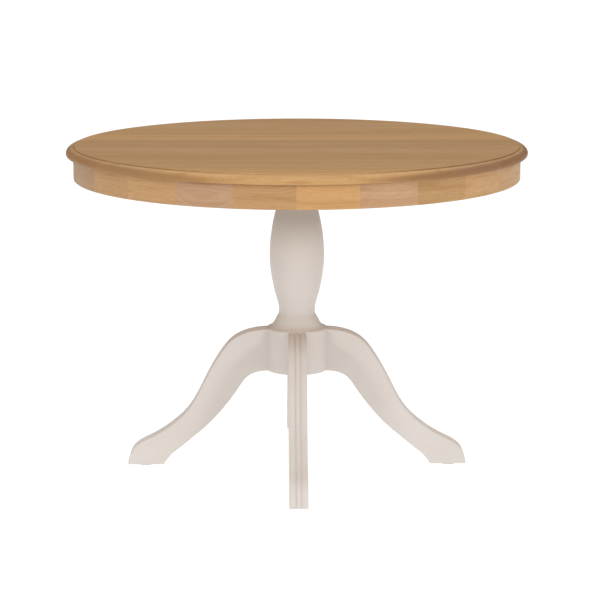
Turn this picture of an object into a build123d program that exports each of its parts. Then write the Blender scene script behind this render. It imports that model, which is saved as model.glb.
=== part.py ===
from build123d import *

import os
from math import cos, radians, sin

# A round pedestal dining table, in millimetres, standing on the floor.
# The origin is on the floor under the middle of the top, +Z is up, the front leg points to -Y
# and the boards of the top run along X.
#
# The top is nine boards glued edge to edge and moulded round the rim. Under it is a ring of 25 curved
# segments, the apron, and two half-lapped bearers with a steel plate that holds the turned column.
# Four sawn and reeded legs are bolted to the foot of the column through the wall of its hollow hub.

# ---- driving dimensions ----

TABLE_HEIGHT = 760.0

TOP_RADIUS = 530.0
TOP_THICKNESS = 22.0
BOARD_COUNT = 9
BOARD_WIDTH = 118.0
SHOULDER_INSET = 18.0  # from the nose of the rim in to where the flat of the top ends
QUIRK_DEPTH = 2.5  # the small step at the top of the rim moulding
NOSE_DROP = 16.0  # how far the nose of the rim lies below the top
UNDER_ROUND = 3.5

APRON_RADIUS = 513.5
APRON_THICKNESS = 20.0
APRON_HEIGHT = 54.5
APRON_ARRIS = 2.0

# Where the apron's segments meet, in degrees anticlockwise from the front: all round at even steps, and once
# more where two offcuts fill one place.
SEGMENT_ARC = 15.0
FIRST_JOINT = -0.7
OFFCUT_JOINT = 35.5
APRON_JOINTS = [FIRST_JOINT + place * SEGMENT_ARC for place in range(25)]
APRON_JOINTS = sorted([*APRON_JOINTS, OFFCUT_JOINT])

BEARER_WIDTH = 90.0
BEARER_THICKNESS = 25.0
BEARER_END_CHAMFER = 10.0

BLOCK_LENGTH = 64.0
BLOCK_DEPTH = 28.0
BLOCK_HEIGHT = 30.0
BLOCK_SCREW_SPREAD = 36.0
BLOCK_ANGLES = [quarter + step for quarter in (0, 90, 180, 270) for step in (30, 60)]

PLATE_SIZE = 200.0
PLATE_THICKNESS = 5.0
PLATE_CORNER = 16.0
PLATE_BOLT_OFFSET = 80.0
COLUMN_SCREW_RING = 28.0
COLUMN_SCREW_COUNT = 6
COLUMN_SCREW_LENGTH = 45.0

COLUMN_HEAD_RADIUS = 62.0
COLUMN_HEAD_HEIGHT = 20.0
COLUMN_FLARE_RADIUS = 59.0  # where the upper flare meets the head
COLUMN_NECK_RADIUS = 42.0
COLUMN_BELLY_RADIUS = 63.4

HUB_RADIUS = 71.0
HUB_BOTTOM = 228.0
HUB_TOP = 328.5
HUB_ARRIS = 2.0
HUB_BORE_RADIUS = 37.5
HUB_BORE_TOP = 318.0
CAP_RADIUS = 50.0
CAP_THICKNESS = 6.0
CAP_SCREW_RING = 44.0

LEG_THICKNESS = 42.0
LEG_ARRIS = 2.0  # the easing of the two inner edges
LEG_ANGLES = {"front": -90, "right": 0, "back": 90, "left": 180}
REED_HALF_WIDTH = 5.85  # half of the middle reed
REED_SKIM = 1.0  # what the reeding cutter takes off the sawn face at the crown of a reed
REED_DEPTH = 3.2
REED_SIDE_DROP = 3.0  # how far the outer reeds fall away at the sides of the leg

GLIDE_THICKNESS = 3.0
GLIDE_RADIUS = 19.0
GLIDE_REACH = 357.0  # from the middle of the table to the middle of a glide
NAIL_RADIUS = 1.25
NAIL_LENGTH = 14.0
NAIL_HEAD = (3.5, 1.2)  # radius and height

# The outer edge of a leg as sawn, from inside the hub out to the toe, as distance out and height.
LEG_OUTER = [
    (60, 329.5),
    (111.5, 323.5),
    (152.5, 303.4),
    (178, 274),
    (219.5, 201.5),
    (255, 138.5),
    (301, 95.5),
    (344, 69),
    (366, 58),
    (383, 45),
    (393, 29),
    (399.3, GLIDE_THICKNESS),
]

# The inner edge of a leg, from inside the hub down to the heel.
LEG_INNER = [
    (60, HUB_BOTTOM),
    (104, 221.5),
    (120, 210.5),
    (135.6, 189.5),
    (172, 140),
    (213, 95.8),
    (256, 59.3),
    (281, 38.7),
    (297.5, 25.3),
    (314, GLIDE_THICKNESS),
]

# The directions of both edges at their two ends, and how strongly each direction pulls its end.
LEG_OUTER_ENDS = ((1, 0), (0.1, -1))
LEG_INNER_ENDS = ((1, 0), (0.5, -0.85))
LEG_END_PULLS = (1.0, 0.5)

LEG_BOLT_HEIGHTS = (250.0, 306.0)
LEG_BOLT_RADIUS = 4.0
LEG_BOLT_REACH = (24.0, 112.0)  # from the nut's end in the hub to the tip in the leg
NUT_ACROSS_FLATS = 13.0
NUT_THICKNESS = 6.5
SADDLE_RADIUS = 11.0
SADDLE_FLAT = 33.0  # how far the flat side of a saddle washer is from the middle of the hub
DOWEL_HEIGHT = 278.0
DOWEL_RADIUS = 5.0
DOWEL_REACH = (54.0, 94.0)

WOOD_SCREW_RADIUS = 2.25
WOOD_SCREW_BITE = 14.0  # how far a screw goes into the boards of the top
WOOD_SCREW_HEAD = (5.0, 3.0)  # radius and height of a pan head
SCREW_SLOT_LENGTH = 7.2  # of the slots that let the boards move across the grain
BOLT_RADIUS = 4.0
BOLT_HEAD = (7.5, 4.5)
BOLT_LENGTH = 18.0
BOLT_SOCKET_RADIUS = 2.5  # to the flats of its hexagonal socket
INSERT_RADIUS = 6.0
INSERT_LENGTH = 15.0

STANDING = (Align.CENTER, Align.CENTER, Align.MIN)  # a piece that rises from its seat
HANGING = (Align.CENTER, Align.CENTER, Align.MAX)

# ---- levels worked out from the driving dimensions ----

SLAB_BOTTOM = TABLE_HEIGHT - TOP_THICKNESS
APRON_BOTTOM = SLAB_BOTTOM - APRON_HEIGHT
APRON_INNER = APRON_RADIUS - APRON_THICKNESS
BEARER_BOTTOM = SLAB_BOTTOM - BEARER_THICKNESS
LAP_LEVEL = SLAB_BOTTOM - BEARER_THICKNESS / 2
PLATE_BOTTOM = BEARER_BOTTOM - PLATE_THICKNESS
HEAD_BOTTOM = PLATE_BOTTOM - COLUMN_HEAD_HEIGHT
BLOCK_BOTTOM = SLAB_BOTTOM - BLOCK_HEIGHT
CAP_TOP = HUB_BOTTOM + CAP_THICKNESS

BLOCK_SCREW_RING = APRON_INNER - BLOCK_DEPTH / 2

# Where the bearers' screws go up into the boards: pairs along the middle board, and a pair in each other one.
BEARER_ALONG_SCREWS = [(side * x, y) for side in (-1, 1) for x in (135, 255, 375, 465) for y in (-25, 25)]
BEARER_ACROSS_SCREWS = [(x, side * y) for side in (-1, 1) for y in (118, 236, 354, 452) for x in (-25, 25)]


def around(radius, angle, sideways=0.0):
    """A point at a radius and an angle about the middle of the table, moved sideways along the ring."""
    turn = radians(angle)
    return (radius * cos(turn) - sideways * sin(turn), radius * sin(turn) + sideways * cos(turn))


BLOCK_SCREWS = [
    around(BLOCK_SCREW_RING, angle, sideways)
    for angle in BLOCK_ANGLES
    for sideways in (-BLOCK_SCREW_SPREAD / 2, BLOCK_SCREW_SPREAD / 2)
]
BEARER_SCREWS = BEARER_ALONG_SCREWS + BEARER_ACROSS_SCREWS
TOP_SCREWS = BEARER_SCREWS + BLOCK_SCREWS


def upright(angle):
    """The upright plane through the table's axis whose x runs outwards at an angle."""
    out = (cos(radians(angle)), sin(radians(angle)), 0)
    return Plane(origin=(0, 0, 0), x_dir=out, z_dir=(out[1], -out[0], 0))


def facing(angle, reach, height):
    """The plane square to a radius of the table, at a reach along it, whose z points outwards."""
    out = (cos(radians(angle)), sin(radians(angle)), 0)
    return Plane(origin=(reach * out[0], reach * out[1], height), x_dir=(0, 0, 1), z_dir=out)


def keep(piece, name):
    """Label a finished piece and write it as its own file."""
    piece.part.label = name
    export_step(piece.part, f"parts/{name}.step")


# ---- the top ----


def top_board(number):
    """One board of the top, cut from the moulded disc and drilled underneath for the screws that hold it."""
    low = (number - 1 - BOARD_COUNT / 2) * BOARD_WIDTH
    shoulder = TOP_RADIUS - SHOULDER_INSET
    quirk = TABLE_HEIGHT - QUIRK_DEPTH
    nose = TABLE_HEIGHT - NOSE_DROP
    under = TOP_RADIUS - UNDER_ROUND
    with BuildPart() as board:
        with BuildSketch(Plane.XZ):
            with BuildLine():
                Polyline((0, SLAB_BOTTOM), (0, TABLE_HEIGHT), (shoulder - 1, TABLE_HEIGHT))
                Line((shoulder - 1, TABLE_HEIGHT), (shoulder, TABLE_HEIGHT - 1))
                Line((shoulder, TABLE_HEIGHT - 1), (shoulder, quirk))
                EllipticalCenterArc((shoulder, nose), SHOULDER_INSET, quirk - nose, arc_size=90)
                RadiusArc((TOP_RADIUS, nose), (under, SLAB_BOTTOM), nose - SLAB_BOTTOM)
                Line((under, SLAB_BOTTOM), (0, SLAB_BOTTOM))
            make_face()
        revolve(axis=Axis.Z)
        with BuildSketch(Plane.XY.offset(SLAB_BOTTOM)):
            with Locations((0, low + BOARD_WIDTH / 2)):
                Rectangle(2 * TOP_RADIUS + BOARD_WIDTH, BOARD_WIDTH)
        extrude(amount=TOP_THICKNESS, mode=Mode.INTERSECT)
        with Locations([(x, y, SLAB_BOTTOM) for x, y in TOP_SCREWS if low < y < low + BOARD_WIDTH]):
            Cylinder(WOOD_SCREW_RADIUS, WOOD_SCREW_BITE, align=STANDING, mode=Mode.SUBTRACT)
    return board


# ---- the apron ----


def apron_segment(number):
    """One curved segment of the apron. The first starts at the front and the rest follow anticlockwise."""
    near_end, far_end = APRON_JOINTS[number - 1 : number + 1]
    with BuildPart() as segment:
        with BuildSketch(upright(LEG_ANGLES["front"] + far_end)) as section:
            with Locations((APRON_RADIUS - APRON_THICKNESS / 2, APRON_BOTTOM + APRON_HEIGHT / 2)):
                Rectangle(APRON_THICKNESS, APRON_HEIGHT)
            low_corners = section.vertices().group_by(Axis.Y)[0]
            chamfer(low_corners, length=APRON_ARRIS)
        revolve(axis=Axis.Z, revolution_arc=near_end - far_end)
    return segment


def glue_blocks():
    """The blocks in the corner between the apron and the top, as one group."""
    with BuildPart() as blocks:
        for angle in BLOCK_ANGLES:
            with BuildSketch(Plane.XY.offset(BLOCK_BOTTOM).rotated((0, 0, angle))):
                with Locations((APRON_INNER, 0)):
                    Rectangle(2 * BLOCK_DEPTH, BLOCK_LENGTH)
            extrude(amount=BLOCK_HEIGHT)
        with BuildSketch(Plane.XY.offset(BLOCK_BOTTOM)):
            Circle(APRON_INNER)
        extrude(amount=BLOCK_HEIGHT, mode=Mode.INTERSECT)
        with Locations([(x, y, BLOCK_BOTTOM) for x, y in BLOCK_SCREWS]):
            Hole(WOOD_SCREW_RADIUS)
    return blocks


# ---- the bearers and the plate ----


def bearer(along):
    """One of the two crossing bearers: the one along the boards is lapped underneath, the other on top."""
    turn = 0 if along else 90
    reach = 2 * APRON_INNER + BEARER_WIDTH
    with BuildPart() as piece:
        with BuildSketch(Plane.XY.offset(BEARER_BOTTOM).rotated((0, 0, turn))):
            Rectangle(reach, BEARER_WIDTH)
        extrude(amount=BEARER_THICKNESS)
        with BuildSketch(Plane.XY.offset(BEARER_BOTTOM)):
            Circle(APRON_INNER)
        extrude(amount=BEARER_THICKNESS, mode=Mode.INTERSECT)
        with BuildSketch(Plane.XY.offset(BEARER_BOTTOM if along else LAP_LEVEL)):
            Rectangle(BEARER_WIDTH, BEARER_WIDTH)
        extrude(amount=BEARER_THICKNESS / 2, mode=Mode.SUBTRACT)
        low_ends = piece.edges().filter_by(GeomType.CIRCLE).group_by(Axis.Z)[0]
        chamfer(low_ends.filter_by(lambda edge: edge.radius > HUB_RADIUS), length=BEARER_END_CHAMFER)
        if along:
            with Locations([(x, y, BEARER_BOTTOM) for x, y in BEARER_ALONG_SCREWS]):
                Hole(WOOD_SCREW_RADIUS)
        else:
            with BuildSketch(Plane.XY.offset(BEARER_BOTTOM)):
                with Locations(BEARER_ACROSS_SCREWS):
                    SlotOverall(SCREW_SLOT_LENGTH, 2 * WOOD_SCREW_RADIUS, rotation=90)
            extrude(amount=BEARER_THICKNESS, mode=Mode.SUBTRACT)
        with Locations([(*around(PLATE_BOLT_OFFSET, turn + half), BEARER_BOTTOM) for half in (0, 180)]):
            Cylinder(INSERT_RADIUS, INSERT_LENGTH, align=STANDING, mode=Mode.SUBTRACT)
    return piece


def mounting_plate():
    """The steel plate between the bearers and the column, countersunk for the column's screws."""
    with BuildPart() as plate:
        with BuildSketch(Plane.XY.offset(PLATE_BOTTOM)):
            RectangleRounded(PLATE_SIZE, PLATE_SIZE, PLATE_CORNER)
        extrude(amount=PLATE_THICKNESS)
        with Locations(Plane.XY.offset(BEARER_BOTTOM)):
            with PolarLocations(PLATE_BOLT_OFFSET, 4):
                Hole(BOLT_RADIUS)
            with PolarLocations(COLUMN_SCREW_RING, COLUMN_SCREW_COUNT, start_angle=30):
                CounterSinkHole(WOOD_SCREW_RADIUS, WOOD_SCREW_HEAD[0], counter_sink_angle=90)
    return plate


def bearer_inserts():
    """The threaded sleeves in the bearers that take the plate's bolts, as one group."""
    with BuildPart() as inserts:
        with Locations(Plane.XY.offset(BEARER_BOTTOM)):
            with PolarLocations(PLATE_BOLT_OFFSET, 4):
                Cylinder(INSERT_RADIUS, INSERT_LENGTH, align=STANDING)
            with PolarLocations(PLATE_BOLT_OFFSET, 4):
                Cylinder(BOLT_RADIUS, INSERT_LENGTH, align=STANDING, mode=Mode.SUBTRACT)
    return inserts


def plate_bolts():
    """The four socket-headed bolts that hold the plate up against the bearers, as one group."""
    head_radius, head_height = BOLT_HEAD
    with BuildPart() as bolts:
        with Locations(Plane.XY.offset(PLATE_BOTTOM)):
            with PolarLocations(PLATE_BOLT_OFFSET, 4):
                Cylinder(BOLT_RADIUS, BOLT_LENGTH, align=STANDING)
                Cylinder(head_radius, head_height, align=HANGING)
        low_rims = bolts.edges().filter_by(GeomType.CIRCLE).group_by(Axis.Z)[0]
        fillet(low_rims, radius=head_height / 3)
        with BuildSketch(Plane.XY.offset(PLATE_BOTTOM - head_height)):
            with PolarLocations(PLATE_BOLT_OFFSET, 4):
                RegularPolygon(radius=BOLT_SOCKET_RADIUS, side_count=6, major_radius=False)
        extrude(amount=head_height * 2 / 3, mode=Mode.SUBTRACT)
    return bolts


def pan_screws(points, seat, length):
    """Pan-headed wood screws that go straight up from a seat at the given points, as one group."""
    head_radius, head_height = WOOD_SCREW_HEAD
    with BuildPart() as screws:
        with Locations([(x, y, seat) for x, y in points]):
            Cylinder(WOOD_SCREW_RADIUS, length, align=STANDING)
            Cylinder(head_radius, head_height, align=HANGING)
        fillet(screws.edges().filter_by(GeomType.CIRCLE).group_by(Axis.Z)[0], radius=head_height / 2)
        with BuildSketch(Plane.XY.offset(seat - head_height)):
            with Locations(points):
                Rectangle(head_radius, head_height / 4)
                Rectangle(head_height / 4, head_radius)
        extrude(amount=head_height / 2, mode=Mode.SUBTRACT)
    return screws


# ---- the column ----


def column():
    """The turned column, flared at both ends and bored out at the foot for the nuts of the leg bolts."""
    flare = COLUMN_FLARE_RADIUS
    neck = COLUMN_NECK_RADIUS
    head = COLUMN_HEAD_RADIUS
    with BuildPart() as piece:
        with BuildSketch(Plane.XZ):
            with BuildLine():
                Polyline((0, HUB_BOTTOM), (HUB_RADIUS, HUB_BOTTOM), (HUB_RADIUS, HUB_TOP))
                Spline(
                    (HUB_RADIUS, HUB_TOP),
                    (60, 334),
                    (52.2, 344.5),
                    (44.5, 359),
                    (neck, 370),
                    tangents=((-0.9, 0.4), (0, 1)),
                )
                Spline(
                    (neck, 370),
                    (48.2, 402),
                    (59.2, 451),
                    (COLUMN_BELLY_RADIUS, 497),
                    (60.9, 543),
                    (50.7, 600),
                    (neck, 650),
                    tangents=((0, 1), (0, 1)),
                )
                Spline((neck, 650), (47, 668), (flare, HEAD_BOTTOM - 4), tangents=((0, 1), (0.9, 0.5)))
                Line((flare, HEAD_BOTTOM - 4), (flare, HEAD_BOTTOM))
                Line((flare, HEAD_BOTTOM), (head, HEAD_BOTTOM))
                Polyline((head, HEAD_BOTTOM), (head, PLATE_BOTTOM), (0, PLATE_BOTTOM))
                Line((0, PLATE_BOTTOM), (0, HUB_BOTTOM))
            make_face()
        revolve(axis=Axis.Z)
        rims = piece.edges().filter_by(GeomType.CIRCLE)
        fillet(rims.filter_by(lambda rim: rim.radius > head - 1), radius=HUB_ARRIS)
        with Locations(Plane.XY.offset(HUB_BOTTOM)):
            Cylinder(CAP_RADIUS, CAP_THICKNESS, align=STANDING, mode=Mode.SUBTRACT)
            Cylinder(HUB_BORE_RADIUS, HUB_BORE_TOP - HUB_BOTTOM, align=STANDING, mode=Mode.SUBTRACT)
        for angle in LEG_ANGLES.values():
            for height in LEG_BOLT_HEIGHTS:
                with BuildSketch(facing(angle, 0, height)):
                    Circle(LEG_BOLT_RADIUS)
                extrude(amount=HUB_RADIUS + 1, mode=Mode.SUBTRACT)
            with BuildSketch(facing(angle, DOWEL_REACH[0], DOWEL_HEIGHT)):
                Circle(DOWEL_RADIUS)
            extrude(amount=HUB_RADIUS, mode=Mode.SUBTRACT)
        with Locations(Plane.XY.offset(CAP_TOP)):
            with PolarLocations(CAP_SCREW_RING, 4, start_angle=45):
                Cylinder(WOOD_SCREW_RADIUS, WOOD_SCREW_BITE, align=STANDING, mode=Mode.SUBTRACT)
        with Locations(Plane.XY.offset(PLATE_BOTTOM)):
            with PolarLocations(COLUMN_SCREW_RING, COLUMN_SCREW_COUNT, start_angle=30):
                pilot_depth = COLUMN_SCREW_LENGTH - PLATE_THICKNESS
                Cylinder(WOOD_SCREW_RADIUS, pilot_depth, align=HANGING, mode=Mode.SUBTRACT)
    return piece


def column_screws():
    """The countersunk screws that go down through the plate into the head of the column, as one group."""
    head_radius = WOOD_SCREW_HEAD[0]
    with BuildPart() as screws:
        with Locations(Plane.XY.offset(BEARER_BOTTOM)):
            with PolarLocations(COLUMN_SCREW_RING, COLUMN_SCREW_COUNT, start_angle=30):
                Cylinder(WOOD_SCREW_RADIUS, COLUMN_SCREW_LENGTH, align=HANGING)
                Cone(WOOD_SCREW_RADIUS, head_radius, head_radius - WOOD_SCREW_RADIUS, align=HANGING)
    return screws


def hub_cap():
    """The disc that closes the bore of the hub from below, countersunk for its four screws."""
    with BuildPart() as cap:
        with BuildSketch(Plane.XY.offset(HUB_BOTTOM)):
            Circle(CAP_RADIUS)
        extrude(amount=CAP_THICKNESS)
        with Locations(Plane.XY.offset(HUB_BOTTOM).rotated((180, 0, 0))):
            with PolarLocations(CAP_SCREW_RING, 4, start_angle=45):
                CounterSinkHole(WOOD_SCREW_RADIUS, WOOD_SCREW_HEAD[0], counter_sink_angle=90)
    return cap


def cap_screws():
    """The four countersunk screws of the hub's cap, as one group."""
    head_radius = WOOD_SCREW_HEAD[0]
    with BuildPart() as screws:
        with Locations(Plane.XY.offset(HUB_BOTTOM)):
            with PolarLocations(CAP_SCREW_RING, 4, start_angle=45):
                Cylinder(WOOD_SCREW_RADIUS, CAP_THICKNESS + WOOD_SCREW_BITE, align=STANDING)
                Cone(head_radius, WOOD_SCREW_RADIUS, head_radius - WOOD_SCREW_RADIUS, align=STANDING)
    return screws


# ---- the legs ----


def reed_cutter(angle):
    """What the reeding cutter sweeps out along the outer edge: all that lies above the three reeds."""
    groove = -(REED_SKIM + REED_DEPTH)
    side = LEG_THICKNESS / 2 + 1
    side_drop = -(REED_SKIM + REED_SIDE_DROP)
    crown = (REED_HALF_WIDTH + side) / 2
    with BuildPart() as cutter:
        with BuildLine(upright(angle)) as path:
            edge = Spline(*LEG_OUTER, tangents=LEG_OUTER_ENDS, tangent_scalars=LEG_END_PULLS)
            Line(edge @ 1, edge @ 1 + (edge % 1) * GLIDE_THICKNESS)
        start = path.wire() @ 0
        out = path.wire() % 0
        with BuildSketch(Plane(origin=start, x_dir=Vector(0, 0, 1).cross(out), z_dir=out)):
            with BuildLine():
                ThreePointArc((-REED_HALF_WIDTH, groove), (0, -REED_SKIM), (REED_HALF_WIDTH, groove))
                ThreePointArc((REED_HALF_WIDTH, groove), (crown, -REED_SKIM), (side, side_drop))
                Polyline((side, side_drop), (side, 4), (-side, 4), (-side, side_drop))
                ThreePointArc((-side, side_drop), (-crown, -REED_SKIM), (-REED_HALF_WIDTH, groove))
            make_face()
        sweep(path=path.wire())
    return cutter


def leg(angle):
    """One leg: sawn to shape, coped to the hub, reeded down its outer edge and drilled for its fastenings."""
    cutter = reed_cutter(angle)
    with BuildPart() as piece:
        with BuildSketch(upright(angle).offset(-LEG_THICKNESS / 2)):
            with BuildLine():
                Spline(*LEG_OUTER, tangents=LEG_OUTER_ENDS, tangent_scalars=LEG_END_PULLS)
                Line(LEG_OUTER[-1], LEG_INNER[-1])
                Spline(*LEG_INNER, tangents=LEG_INNER_ENDS, tangent_scalars=LEG_END_PULLS)
                Line(LEG_INNER[0], LEG_OUTER[0])
            make_face()
        extrude(amount=LEG_THICKNESS)
        fillet(piece.edges().filter_by(GeomType.BSPLINE).group_by(Axis.Z)[0], radius=LEG_ARRIS)
        with BuildSketch(Plane.XY.offset(HUB_BOTTOM - HUB_RADIUS)):
            Circle(HUB_RADIUS)
        extrude(amount=3 * HUB_RADIUS, mode=Mode.SUBTRACT)
        add(cutter.part, mode=Mode.SUBTRACT)
        for height in LEG_BOLT_HEIGHTS:
            with BuildSketch(facing(angle, 0, height)):
                Circle(LEG_BOLT_RADIUS)
            extrude(amount=LEG_BOLT_REACH[1], mode=Mode.SUBTRACT)
        with BuildSketch(facing(angle, 0, DOWEL_HEIGHT)):
            Circle(DOWEL_RADIUS)
        extrude(amount=DOWEL_REACH[1], mode=Mode.SUBTRACT)
        with Locations((*around(GLIDE_REACH, angle), GLIDE_THICKNESS)):
            Cylinder(NAIL_RADIUS, NAIL_LENGTH, align=STANDING, mode=Mode.SUBTRACT)
    return piece


def leg_bolts():
    """Two hanger bolts a leg, threaded into it and standing through the wall of the hub, as one group."""
    low, high = LEG_BOLT_REACH
    with BuildPart() as bolts:
        for angle in LEG_ANGLES.values():
            for height in LEG_BOLT_HEIGHTS:
                with BuildSketch(facing(angle, low, height)):
                    Circle(LEG_BOLT_RADIUS)
                extrude(amount=high - low)
    return bolts


def saddle_washers():
    """The washers under the nuts, each rounded on one side to lie against the hub's bore, as one group."""
    with BuildPart() as washers:
        for angle in LEG_ANGLES.values():
            for height in LEG_BOLT_HEIGHTS:
                with BuildSketch(facing(angle, SADDLE_FLAT, height)):
                    Circle(SADDLE_RADIUS)
                    Circle(LEG_BOLT_RADIUS, mode=Mode.SUBTRACT)
                extrude(amount=HUB_BORE_RADIUS - SADDLE_FLAT)
        with BuildSketch(Plane.XY.offset(CAP_TOP)):
            Circle(HUB_BORE_RADIUS)
        extrude(amount=HUB_BORE_TOP - CAP_TOP, mode=Mode.INTERSECT)
    return washers


def leg_nuts():
    """The hexagonal nuts of the hanger bolts, as one group."""
    with BuildPart() as nuts:
        for angle in LEG_ANGLES.values():
            for height in LEG_BOLT_HEIGHTS:
                with BuildSketch(facing(angle, SADDLE_FLAT - NUT_THICKNESS, height)):
                    RegularPolygon(radius=NUT_ACROSS_FLATS / 2, side_count=6, major_radius=False)
                    Circle(LEG_BOLT_RADIUS, mode=Mode.SUBTRACT)
                extrude(amount=NUT_THICKNESS)
    return nuts


def leg_dowels():
    """One dowel a leg, between its two bolts, that sets its place on the hub, as one group."""
    low, high = DOWEL_REACH
    with BuildPart() as dowels:
        for angle in LEG_ANGLES.values():
            with BuildSketch(facing(angle, low, DOWEL_HEIGHT)):
                Circle(DOWEL_RADIUS)
            extrude(amount=high - low)
    return dowels


# ---- the glides under the feet ----


def glide(angle):
    """The plastic disc under one foot, with a well for the head of its nail."""
    head_radius, head_height = NAIL_HEAD
    with BuildPart() as disc:
        with Locations((*around(GLIDE_REACH, angle), 0)):
            Cylinder(GLIDE_RADIUS, GLIDE_THICKNESS, align=STANDING)
        fillet(disc.edges().group_by(Axis.Z)[0], radius=GLIDE_THICKNESS / 3)
        with Locations((*around(GLIDE_REACH, angle), 0)):
            Cylinder(head_radius, 2 * head_height, align=STANDING, mode=Mode.SUBTRACT)
            Cylinder(NAIL_RADIUS, GLIDE_THICKNESS, align=STANDING, mode=Mode.SUBTRACT)
    return disc


def glide_nails():
    """The nails of the glides, with their heads above the floor in the wells, as one group."""
    head_radius, head_height = NAIL_HEAD
    with BuildPart() as nails:
        with Locations([(*around(GLIDE_REACH, angle), 2 * head_height) for angle in LEG_ANGLES.values()]):
            Cylinder(NAIL_RADIUS, GLIDE_THICKNESS - 2 * head_height + NAIL_LENGTH, align=STANDING)
            Cylinder(head_radius, head_height, align=HANGING)
    return nails


# ---- making every piece ----


def main():
    os.makedirs("parts", exist_ok=True)
    for number in range(1, BOARD_COUNT + 1):
        keep(top_board(number), f"top_board_{number:02d}")
    for number in range(1, len(APRON_JOINTS)):
        keep(apron_segment(number), f"apron_segment_{number:02d}")
    keep(glue_blocks(), "glue_blocks")
    keep(bearer(along=True), "bearer_along")
    keep(bearer(along=False), "bearer_across")
    keep(mounting_plate(), "mounting_plate")
    keep(column(), "column")
    keep(hub_cap(), "hub_cap")
    for side, angle in LEG_ANGLES.items():
        keep(leg(angle), f"leg_{side}")
        keep(glide(angle), f"glide_{side}")
    keep(pan_screws(BEARER_SCREWS, BEARER_BOTTOM, BEARER_THICKNESS + WOOD_SCREW_BITE), "bearer_screws")
    keep(pan_screws(BLOCK_SCREWS, BLOCK_BOTTOM, BLOCK_HEIGHT + WOOD_SCREW_BITE), "block_screws")
    keep(bearer_inserts(), "bearer_inserts")
    keep(plate_bolts(), "plate_bolts")
    keep(column_screws(), "column_screws")
    keep(cap_screws(), "cap_screws")
    keep(leg_bolts(), "leg_bolts")
    keep(saddle_washers(), "saddle_washers")
    keep(leg_nuts(), "leg_nuts")
    keep(leg_dowels(), "leg_dowels")
    keep(glide_nails(), "glide_nails")


main()
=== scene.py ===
from math import atan2, cos, pi, radians, sin

import bpy
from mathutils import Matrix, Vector


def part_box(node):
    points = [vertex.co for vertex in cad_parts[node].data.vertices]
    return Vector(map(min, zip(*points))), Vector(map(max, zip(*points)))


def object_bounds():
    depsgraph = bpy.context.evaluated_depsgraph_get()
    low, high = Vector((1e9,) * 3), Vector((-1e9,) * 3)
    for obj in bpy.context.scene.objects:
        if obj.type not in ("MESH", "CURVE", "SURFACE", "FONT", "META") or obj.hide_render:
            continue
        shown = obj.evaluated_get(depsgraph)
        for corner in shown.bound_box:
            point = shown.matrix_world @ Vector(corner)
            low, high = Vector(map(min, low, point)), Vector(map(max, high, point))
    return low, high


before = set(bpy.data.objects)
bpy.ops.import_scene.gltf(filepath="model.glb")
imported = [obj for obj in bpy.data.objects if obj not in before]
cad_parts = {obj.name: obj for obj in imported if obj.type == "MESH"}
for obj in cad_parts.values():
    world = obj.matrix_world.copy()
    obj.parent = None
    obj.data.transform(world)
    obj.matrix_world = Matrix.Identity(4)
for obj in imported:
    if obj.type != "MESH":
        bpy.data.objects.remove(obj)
CAD_LOW, CAD_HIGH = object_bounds()

# Lengths are in metres and colours are linear, unless a name says otherwise.
# The table stands with its front leg towards -Y, and the boards of its top run along X.

# ---- the camera, at the height and distance that give the table its outline ----

CAMERA_DISTANCE = 5.124
CAMERA_HEIGHT = 1.396
CAMERA_ROUND = 0.61  # degrees that the camera stands to the left of square on
CAMERA_PITCH = 11.082  # degrees below level
CAMERA_YAW = 0.08  # degrees that it is turned right of the table's axis
CAMERA_LENS_MM = 134.17
CAMERA_SENSOR_MM = 36.0

# ---- colours ----

OAK = (0.50, 0.288, 0.122)
OAK_DARK = (0.336, 0.163, 0.054)
OAK_PALE = (0.60, 0.380, 0.188)
OAK_END = (0.29, 0.148, 0.057)
RIGHT_END_SHADE = (0.82, 0.79, 0.87)  # painted shade: the ends towards +X are made darker, as if less light fell on that side
RAW_OAK = (0.56, 0.38, 0.20)
RAW_DARK = (0.36, 0.21, 0.095)
RAW_PALE = (0.68, 0.50, 0.30)
RAW_END = (0.36, 0.22, 0.10)
PAINT = (0.625, 0.580, 0.545)
PAINT_SHADE = (0.568, 0.522, 0.476)
PAINT_LIGHT = (0.660, 0.624, 0.592)
ZINC = (0.62, 0.62, 0.60)
ZINC_DULL = (0.46, 0.47, 0.48)
POWDER = (0.012, 0.012, 0.013)
POWDER_DUST = (0.05, 0.048, 0.045)
PLASTIC = (0.66, 0.63, 0.57)
PLASTIC_DULL = (0.56, 0.53, 0.47)
PLASTIC_SCUFF = (0.38, 0.35, 0.31)
PINK_GREEN = 0.05  # how much green a fully pink wood gains
PINK_BLUE = 0.42  # and how much blue

# ---- the studio's floor, room and lights ----

FLOOR_REACH = 40.0  # from the table to the floor's edge
FLOOR_WHITE = 0.25
FLOOR_MOTTLE = 0.985  # the darker patches of the floor against the lighter ones
FLOOR_GLOW = 0.87  # so that the floor is white in the picture without strong lights
ROOM_DARK = 0.08  # how bright the room is behind the table, down by the horizon
ROOM_BRIGHT = 1.10  # and overhead and in front
ROOM_TILT = 0.20  # how far the bright part leans to the front
ROOM_STEP = (0.15, 0.60)  # where the room turns from dark to bright
KEY_COLOUR = (1.0, 0.965, 0.92)
KEY_REACH = 2.8  # how far each key light is to the front of the table, and to its own side
KEY_HEIGHT = 1.65
KEY_SIZE = 0.5
KEY_WATTS_LEFT = 32
KEY_WATTS_RIGHT = 40
KEY_AIM_HEIGHT = 0.45

# ---- the wood's figure ----

BOARD_RING = 0.0042  # between growth rings
SEGMENT_RING = 0.0036
RAW_RING = 0.005
RAW_PITH = (0.01, -0.07)
JOINT_LINE = 0.0011  # the width of the dark line along the edge of a board
END_FACING = (0.15, 0.50)  # how squarely a face looks along the grain as its end grain comes in

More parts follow.
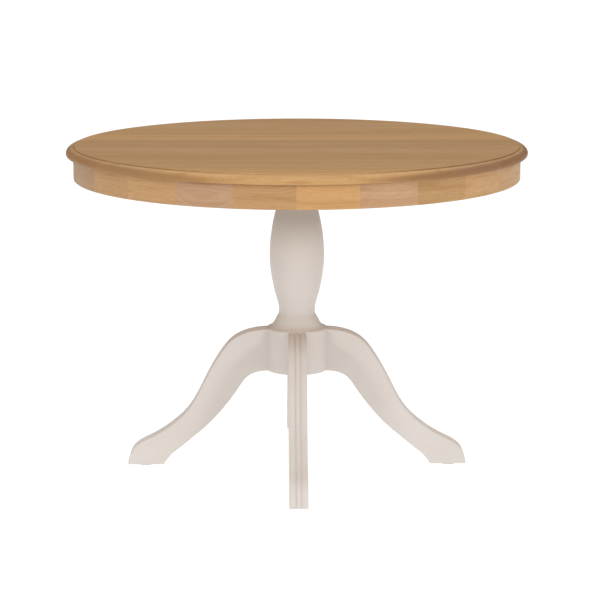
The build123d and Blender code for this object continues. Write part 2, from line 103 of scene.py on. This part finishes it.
# How light each board of the top is, from the front one to the back one, and how pink.
BOARD_LOOKS = [
    (0.99, -0.20),
    (0.94, 0.10),
    (0.88, -0.10),
    (0.93, 0.05),
    (0.86, -0.05),
    (1.00, -0.10),
    (0.92, -0.20),
    (0.95, 0.05),
    (0.91, -0.10),
]

# The same for the apron's segments, anticlockwise from the front.
SEGMENT_LOOKS = [
    (1.08, -0.10),
    (0.96, 0.80),
    (0.83, -0.10),
    (0.86, -0.05),
    (0.97, 0.15),
    (0.92, 0.35),
    (0.90, 0.10),
    (0.93, 0.30),
    (1.04, 0.10),
    (0.90, 0.00),
    (0.98, 0.40),
    (1.02, 0.00),
    (0.92, 0.15),
    (1.05, 0.20),
    (0.95, -0.10),
    (0.99, 0.30),
    (0.89, 0.10),
    (1.01, 0.00),
    (0.93, 0.20),
    (0.70, 0.45),
    (0.73, 0.45),
    (0.87, 0.10),
    (0.95, 0.10),
    (0.88, 0.90),
    (0.90, 0.10),
]


def tinted(colour, light, pink):
    """A wood colour made lighter or darker, and pinker by lifting its blue and a little of its green."""
    red, green, blue = colour
    return (red * light, green * light * (1 + PINK_GREEN * pink), blue * light * (1 + PINK_BLUE * pink))


# ---- a short way to write materials ----


class Finish:
    """One material: its node tree, its shader, and calls that each add one node and give back its output."""

    def __init__(self, name):
        self.material = bpy.data.materials.new(name)
        self.material.use_nodes = True
        self.tree = self.material.node_tree
        self.tree.nodes.clear()
        self.shader = self.tree.nodes.new("ShaderNodeBsdfPrincipled")
        output = self.tree.nodes.new("ShaderNodeOutputMaterial")
        self.tree.links.new(self.shader.outputs["BSDF"], output.inputs["Surface"])
        self.coordinates = self.tree.nodes.new("ShaderNodeTexCoord")

    def plug(self, socket, value):
        if isinstance(value, bpy.types.NodeSocket):
            self.tree.links.new(value, socket)
        elif isinstance(value, tuple) and len(value) == 3 and socket.type == "RGBA":
            socket.default_value = (*value, 1.0)
        else:
            socket.default_value = value

    def node(self, kind, inputs, output=0, **settings):
        made = self.tree.nodes.new(kind)
        for setting, value in settings.items():
            setattr(made, setting, value)
        for socket, value in inputs.items():
            self.plug(made.inputs[socket], value)
        return made.outputs[output]

    def math(self, operation, a, b=0.0, c=0.0):
        return self.node("ShaderNodeMath", {0: a, 1: b, 2: c}, operation=operation)

    def vector(self, operation, a, b=(0.0, 0.0, 0.0)):
        output = "Value" if operation in ("LENGTH", "DOT_PRODUCT") else "Vector"
        return self.node("ShaderNodeVectorMath", {0: a, 1: b}, output, operation=operation)

    def turned(self, vector, angle):
        """The vector turned about Z."""
        inputs = {"Vector": vector, "Angle": angle}
        return self.node("ShaderNodeVectorRotate", inputs, rotation_type="Z_AXIS")

    def split(self, vector):
        parts = self.tree.nodes.new("ShaderNodeSeparateXYZ")
        self.plug(parts.inputs[0], vector)
        return parts.outputs[0], parts.outputs[1], parts.outputs[2]

    def noise(self, place, cells, detail=2.0, roughness=0.5, distortion=0.0):
        """Noise whose cells per metre are given along X, Y and Z."""
        inputs = {
            "Vector": self.vector("MULTIPLY", place, cells),
            "Scale": 1.0,
            "Detail": detail,
            "Roughness": roughness,
            "Distortion": distortion,
        }
        return self.node("ShaderNodeTexNoise", inputs, "Fac")

    def step(self, value, low, high, to_low=0.0, to_high=1.0):
        """A smooth step of a value from one range to another."""
        inputs = {"Value": value, "From Min": low, "From Max": high, "To Min": to_low, "To Max": to_high}
        return self.node("ShaderNodeMapRange", inputs, interpolation_type="SMOOTHSTEP")

    def mix(self, factor, a, b, blend="MIX"):
        """A mix of two colours. Of a Mix node's many sockets, inputs 6 and 7 and output 2 are for colours."""
        settings = {"data_type": "RGBA", "blend_type": blend}
        return self.node("ShaderNodeMix", {0: factor, 6: a, 7: b}, 2, **settings)

    def bump(self, height, distance, strength):
        return self.node("ShaderNodeBump", {"Height": height, "Distance": distance, "Strength": strength})

    def finish(self, **values):
        """Plugs values or outputs into the shader, and gives back the material."""
        for name, value in values.items():
            self.plug(self.shader.inputs[name.replace("_", " ")], value)
        return self.material


# ---- wood ----


def wood(name, centre, angle, seed, colours, pith, ring, half_width=None, gloss=0.42):
    """Solid wood with its grain along X turned by an angle, so that faces, edges and ends all fit together.

    The growth rings are round the pith, which lies outside the piece. Long streaks, open pores and slow
    changes of tone run along the grain, and the ends are darker because they drink the finish; the ends
    facing +X carry painted shade on top of that. Where a half width is given, a fine joint line shows along
    both edges. gloss is the roughness between the pores."""
    plain, dark, pale, end = colours
    oak = Finish(name)
    away = oak.vector("SUBTRACT", oak.coordinates.outputs["Object"], tuple(centre))
    place = oak.turned(away, -angle)
    drift = (7.31 * seed, 3.17 * seed, 1.93 * seed)
    grain = oak.vector("ADD", place, drift)

    # The rings, bent slowly along the grain.
    bend = oak.node(
        "ShaderNodeTexNoise",
        {"Vector": oak.vector("MULTIPLY", grain, (1.6, 7.0, 7.0)), "Scale": 1.0, "Detail": 2.0},
        "Color",
    )
    bend = oak.vector("MULTIPLY", oak.vector("SUBTRACT", bend, (0.5, 0.5, 0.5)), (0.0, 0.05, 0.05))
    bent = oak.vector("ADD", place, bend)
    lengthwise, crosswise, upright = oak.split(bent)
    slope = oak.math("MULTIPLY", lengthwise, 0.02 if seed % 2 else -0.015)
    across = oak.math("SUBTRACT", crosswise, pith[0])
    down = oak.math("ADD", oak.math("SUBTRACT", upright, pith[1]), slope)
    radius = oak.math("SQRT", oak.math("ADD", oak.math("POWER", across, 2.0), oak.math("POWER", down, 2.0)))
    rings = oak.math("DIVIDE", radius, ring)
    uneven = oak.noise(grain, (0.8, 28.0, 28.0), 2.0)
    rings = oak.math("ADD", rings, oak.math("MULTIPLY", uneven, 2.2))
    phase = oak.math("FRACT", rings)
    late = oak.math("MULTIPLY", oak.step(phase, 0.25, 0.92), oak.step(phase, 1.0, 0.94))
    early = oak.math("SUBTRACT", 1.0, late)

    # Streaks, pores and slow tone.
    streaks = oak.noise(grain, (1.1, 55.0, 55.0), 4.0, 0.6)
    threads = oak.noise(grain, (6.0, 420.0, 420.0), 2.0)
    tone = oak.noise(grain, (1.8, 9.0, 9.0), 2.0)
    pores = oak.noise(grain, (42.0, 1500.0, 1500.0), 1.0)
    pores = oak.math("MULTIPLY", oak.step(pores, 0.57, 0.68), oak.step(early, 0.2, 0.9, 0.25, 1.0))

    colour = oak.mix(oak.step(tone, 0.3, 0.7, 0.0, 0.35), plain, pale)
    colour = oak.mix(oak.step(streaks, 0.48, 0.74, 0.0, 0.50), colour, dark)
    colour = oak.mix(oak.step(streaks, 0.46, 0.28, 0.0, 0.30), colour, pale)
    colour = oak.mix(oak.math("MULTIPLY", late, 0.22), colour, dark)
    colour = oak.mix(oak.step(threads, 0.45, 0.75, 0.0, 0.18), colour, dark)
    colour = oak.mix(oak.math("MULTIPLY", pores, 0.50), colour, dark)

    # The ends of the grain.
    facing = oak.split(oak.turned(oak.coordinates.outputs["Normal"], -angle))[0]
    ends = oak.step(oak.math("ABSOLUTE", facing), *END_FACING)
    colour = oak.mix(oak.math("MULTIPLY", ends, 0.85), colour, end)
    # Painted shade: the ends facing +X are multiplied darker still, as shade falling on that side.
    colour = oak.mix(oak.step(facing, *END_FACING), colour, RIGHT_END_SHADE, "MULTIPLY")
    if half_width is not None:
        off_middle = oak.math("ABSOLUTE", oak.split(place)[1])
        joint = oak.step(off_middle, half_width - JOINT_LINE, half_width)
        shown = oak.math("MULTIPLY_ADD", ends, 0.35, 0.45)
        colour = oak.mix(oak.math("MULTIPLY", joint, shown), colour, dark)

    rough = oak.math("ADD", gloss, oak.math("MULTIPLY", pores, 0.18))
    rough = oak.math("ADD", rough, oak.step(streaks, 0.3, 0.7, -0.03, 0.05))
    rough = oak.math("ADD", rough, oak.math("MULTIPLY", ends, 0.10))
    height = oak.math("SUBTRACT", oak.math("MULTIPLY", threads, 0.35), pores)
    return oak.finish(
        Base_Color=colour,
        Roughness=rough,
        Normal=oak.bump(height, 0.00012, 0.5),
        Specular_IOR_Level=0.28,
    )


def middle(node):
    low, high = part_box(node)
    return (low + high) / 2


def dress(node, material):
    """Gives a CAD node one material."""
    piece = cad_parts[node]
    piece.data.materials.clear()
    piece.data.materials.append(material)


def dress_boards():
    """The boards of the top: each has its own pith, under or beside it, and its own tone."""
    for number, (light, pink) in enumerate(BOARD_LOOKS, 1):
        node = f"top_board_{number:02d}"
        low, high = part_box(node)
        colours = [tinted(colour, light, pink) for colour in (OAK, OAK_DARK, OAK_PALE, OAK_END)]
        pith = (0.03 * sin(2.4 * number), -0.055 - 0.02 * cos(1.7 * number))
        half_width = (high.y - low.y) / 2
        centre = Vector((0, (low.y + high.y) / 2, (low.z + high.z) / 2))
        dress(node, wood(f"oak_{node}", centre, 0.0, number, colours, pith, BOARD_RING, half_width))


def dress_apron():
    """The segments of the apron: the grain runs along each one's chord."""
    for number, (light, pink) in enumerate(SEGMENT_LOOKS, 1):
        node = f"apron_segment_{number:02d}"
        centre = middle(node)
        angle = atan2(centre.y, centre.x) + pi / 2
        colours = [tinted(colour, light, pink) for colour in (OAK, OAK_DARK, OAK_PALE, OAK_END)]
        pith = (-0.06 - 0.02 * cos(2.1 * number), 0.035 * sin(1.3 * number))
        dress(node, wood(f"oak_{node}", centre, angle, 20 + number, colours, pith, SEGMENT_RING, gloss=0.46))


def dress_hidden_wood():
    """The unfinished wood under the top: bearers, glue blocks and dowels."""
    colours = [RAW_OAK, RAW_DARK, RAW_PALE, RAW_END]
    grains = [("bearer_along", 0.0), ("bearer_across", pi / 2), ("glue_blocks", 0.0), ("leg_dowels", 0.0)]
    for seed, (node, angle) in enumerate(grains, 60):
        dress(node, wood(f"raw_{node}", middle(node), angle, seed, colours, RAW_PITH, RAW_RING, gloss=0.66))


# ---- paint ----


def paint(name, centre, angle, seed, strokes):
    """Satin paint brushed over wood. strokes gives the brush marks' cells per metre along X, Y and Z."""
    coat = Finish(name)
    away = coat.vector("SUBTRACT", coat.coordinates.outputs["Object"], tuple(centre))
    place = coat.vector("ADD", coat.turned(away, -angle), (5.3 * seed, 2.9 * seed, 4.1 * seed))
    clouds = coat.noise(place, (5.0, 5.0, 5.0), 2.0)
    marks = coat.noise(place, strokes, 3.0, 0.55)
    peel = coat.noise(place, (420.0, 420.0, 420.0), 2.0)
    colour = coat.mix(coat.step(clouds, 0.35, 0.75, 0.0, 0.30), PAINT, PAINT_SHADE)
    colour = coat.mix(coat.step(clouds, 0.5, 0.25, 0.0, 0.35), colour, PAINT_LIGHT)
    colour = coat.mix(coat.step(marks, 0.4, 0.75, 0.0, 0.16), colour, PAINT_SHADE)
    height = coat.math("ADD", coat.math("MULTIPLY", marks, 0.7), coat.math("MULTIPLY", peel, 0.3))
    return coat.finish(
        Base_Color=colour,
        Roughness=coat.step(marks, 0.3, 0.7, 0.44, 0.56),
        Normal=coat.bump(height, 0.00022, 0.45),
        Specular_IOR_Level=0.4,
    )


def dress_base():
    """The painted pedestal: brush marks run round the column and down the legs."""
    dress("column", paint("paint_column", (0, 0, 0), 0.0, 1, (9.0, 9.0, 260.0)))
    dress("hub_cap", paint("paint_hub_cap", (0, 0, 0), 0.0, 2, (30.0, 160.0, 30.0)))
    for seed, side in enumerate(("front", "right", "back", "left"), 3):
        node = f"leg_{side}"
        centre = middle(node)
        angle = atan2(centre.y, centre.x)
        dress(node, paint(f"paint_{node}", centre, angle, seed, (14.0, 240.0, 60.0)))


# ---- metal and plastic ----


def zinc():
    """Zinc-plated steel with faint clouding and fine handling marks."""
    plate = Finish("zinc_plate")
    place = plate.coordinates.outputs["Object"]
    clouds = plate.noise(place, (160.0, 160.0, 160.0), 3.0, 0.6)
    marks = plate.noise(place, (900.0, 900.0, 3000.0), 2.0)
    colour = plate.mix(plate.step(clouds, 0.35, 0.7), ZINC, ZINC_DULL)
    return plate.finish(
        Base_Color=colour,
        Metallic=1.0,
        Roughness=plate.step(clouds, 0.3, 0.7, 0.28, 0.46),
        Normal=plate.bump(marks, 0.00005, 0.4),
    )


def powder_coat():
    """Black powder coat with its fine orange peel and dusty lighter patches."""
    coat = Finish("powder_coat")
    place = coat.coordinates.outputs["Object"]
    peel = coat.noise(place, (700.0, 700.0, 700.0), 2.0)
    dust = coat.noise(place, (30.0, 30.0, 30.0), 4.0, 0.6)
    colour = coat.mix(coat.step(dust, 0.45, 0.8, 0.0, 0.5), POWDER, POWDER_DUST)
    return coat.finish(
        Base_Color=colour,
        Roughness=coat.step(dust, 0.3, 0.7, 0.42, 0.58),
        Normal=coat.bump(peel, 0.00015, 0.6),
    )


def glide_plastic():
    """Off-white moulded plastic, scuffed by the floor."""
    plastic = Finish("glide_plastic")
    place = plastic.coordinates.outputs["Object"]
    scuffs = plastic.noise(place, (60.0, 900.0, 60.0), 3.0, 0.6)
    clouds = plastic.noise(place, (45.0, 45.0, 45.0), 2.0)
    colour = plastic.mix(plastic.step(clouds, 0.35, 0.7), PLASTIC, PLASTIC_DULL)
    colour = plastic.mix(plastic.step(scuffs, 0.55, 0.8, 0.0, 0.5), colour, PLASTIC_SCUFF)
    return plastic.finish(
        Base_Color=colour,
        Roughness=plastic.step(scuffs, 0.3, 0.7, 0.38, 0.6),
        Normal=plastic.bump(scuffs, 0.00008, 0.5),
    )


def dress_hardware():
    metal = zinc()
    for node in (
        "bearer_screws",
        "block_screws",
        "bearer_inserts",
        "column_screws",
        "cap_screws",
        "leg_bolts",
        "saddle_washers",
        "leg_nuts",
        "glide_nails",
    ):
        dress(node, metal)
    black = powder_coat()
    dress("mounting_plate", black)
    dress("plate_bolts", black)
    plastic = glide_plastic()
    for side in ("front", "right", "back", "left"):
        dress(f"glide_{side}", plastic)


# ---- the studio ----


def floor():
    """A wide pale floor that fills the camera's view to its top."""
    turns = ((-1, -1), (1, -1), (1, 1), (-1, 1))
    mesh = bpy.data.meshes.new("floor")
    corners = [(x * FLOOR_REACH, y * FLOOR_REACH, CAD_LOW.z) for x, y in turns]
    mesh.from_pydata(corners, [], [(0, 1, 2, 3)])
    piece = bpy.data.objects.new("floor", mesh)
    bpy.context.scene.collection.objects.link(piece)
    sheet = Finish("floor")
    place = sheet.coordinates.outputs["Object"]
    mottle = sheet.noise(place, (3.0, 3.0, 3.0), 2.0)
    colour = sheet.mix(mottle, (FLOOR_WHITE * FLOOR_MOTTLE,) * 3, (FLOOR_WHITE,) * 3)
    mesh.materials.append(
        sheet.finish(
            Base_Color=colour,
            Roughness=0.9,
            Specular_IOR_Level=0.1,
            Emission_Color=(1.0, 1.0, 1.0),
            Emission_Strength=FLOOR_GLOW,
        )
    )


def key_light(name, side, watts):
    """A soft square light at the front, on the side given by a sign. The polish doesn't mirror it."""
    data = bpy.data.lights.new(name, "AREA")
    data.shape = "SQUARE"
    data.size = KEY_SIZE
    data.energy = watts
    data.color = KEY_COLOUR
    lamp = bpy.data.objects.new(name, data)
    lamp.location = (side * KEY_REACH, -KEY_REACH, KEY_HEIGHT)
    lamp.rotation_mode = "QUATERNION"
    aim = Vector((0, 0, KEY_AIM_HEIGHT))
    lamp.rotation_quaternion = (aim - lamp.location).to_track_quat("-Z", "Y")
    lamp.visible_glossy = False
    bpy.context.scene.collection.objects.link(lamp)


def lights():
    """A key light each side of the camera, in a room that is bright overhead and dark behind the table."""
    key_light("key_left", -1, KEY_WATTS_LEFT)
    key_light("key_right", 1, KEY_WATTS_RIGHT)
    world = bpy.data.worlds.new("room")
    world.use_nodes = True
    tree = world.node_tree
    direction = tree.nodes.new("ShaderNodeTexCoord").outputs["Generated"]
    lean = tree.nodes.new("ShaderNodeVectorMath")
    lean.operation = "DOT_PRODUCT"
    lean.inputs[1].default_value = (0.0, -ROOM_TILT, 1.0)
    tree.links.new(direction, lean.inputs[0])
    climb = tree.nodes.new("ShaderNodeMapRange")
    climb.interpolation_type = "SMOOTHSTEP"
    climb.inputs["From Min"].default_value = ROOM_STEP[0]
    climb.inputs["From Max"].default_value = ROOM_STEP[1]
    climb.inputs["To Min"].default_value = ROOM_DARK
    climb.inputs["To Max"].default_value = ROOM_BRIGHT
    tree.links.new(lean.outputs["Value"], climb.inputs["Value"])
    tree.links.new(climb.outputs["Result"], tree.nodes["Background"].inputs["Strength"])
    tree.nodes["Background"].inputs["Color"].default_value = (1.0, 1.0, 1.0, 1.0)
    bpy.context.scene.world = world
    bpy.context.scene.view_settings.view_transform = "Standard"


def camera():
    data = bpy.data.cameras.new("camera")
    data.lens = CAMERA_LENS_MM
    data.sensor_width = CAMERA_SENSOR_MM
    data.dof.use_dof = False
    piece = bpy.data.objects.new("camera", data)
    turn = radians(CAMERA_ROUND)
    piece.location = (-CAMERA_DISTANCE * sin(turn), -CAMERA_DISTANCE * cos(turn), CAMERA_HEIGHT)
    piece.rotation_euler = (radians(90 - CAMERA_PITCH), 0.0, -radians(CAMERA_ROUND + CAMERA_YAW))
    bpy.context.scene.collection.objects.link(piece)
    bpy.context.scene.camera = piece


camera()
dress_boards()
dress_apron()
dress_hidden_wood()
dress_base()
dress_hardware()
floor()
lights()
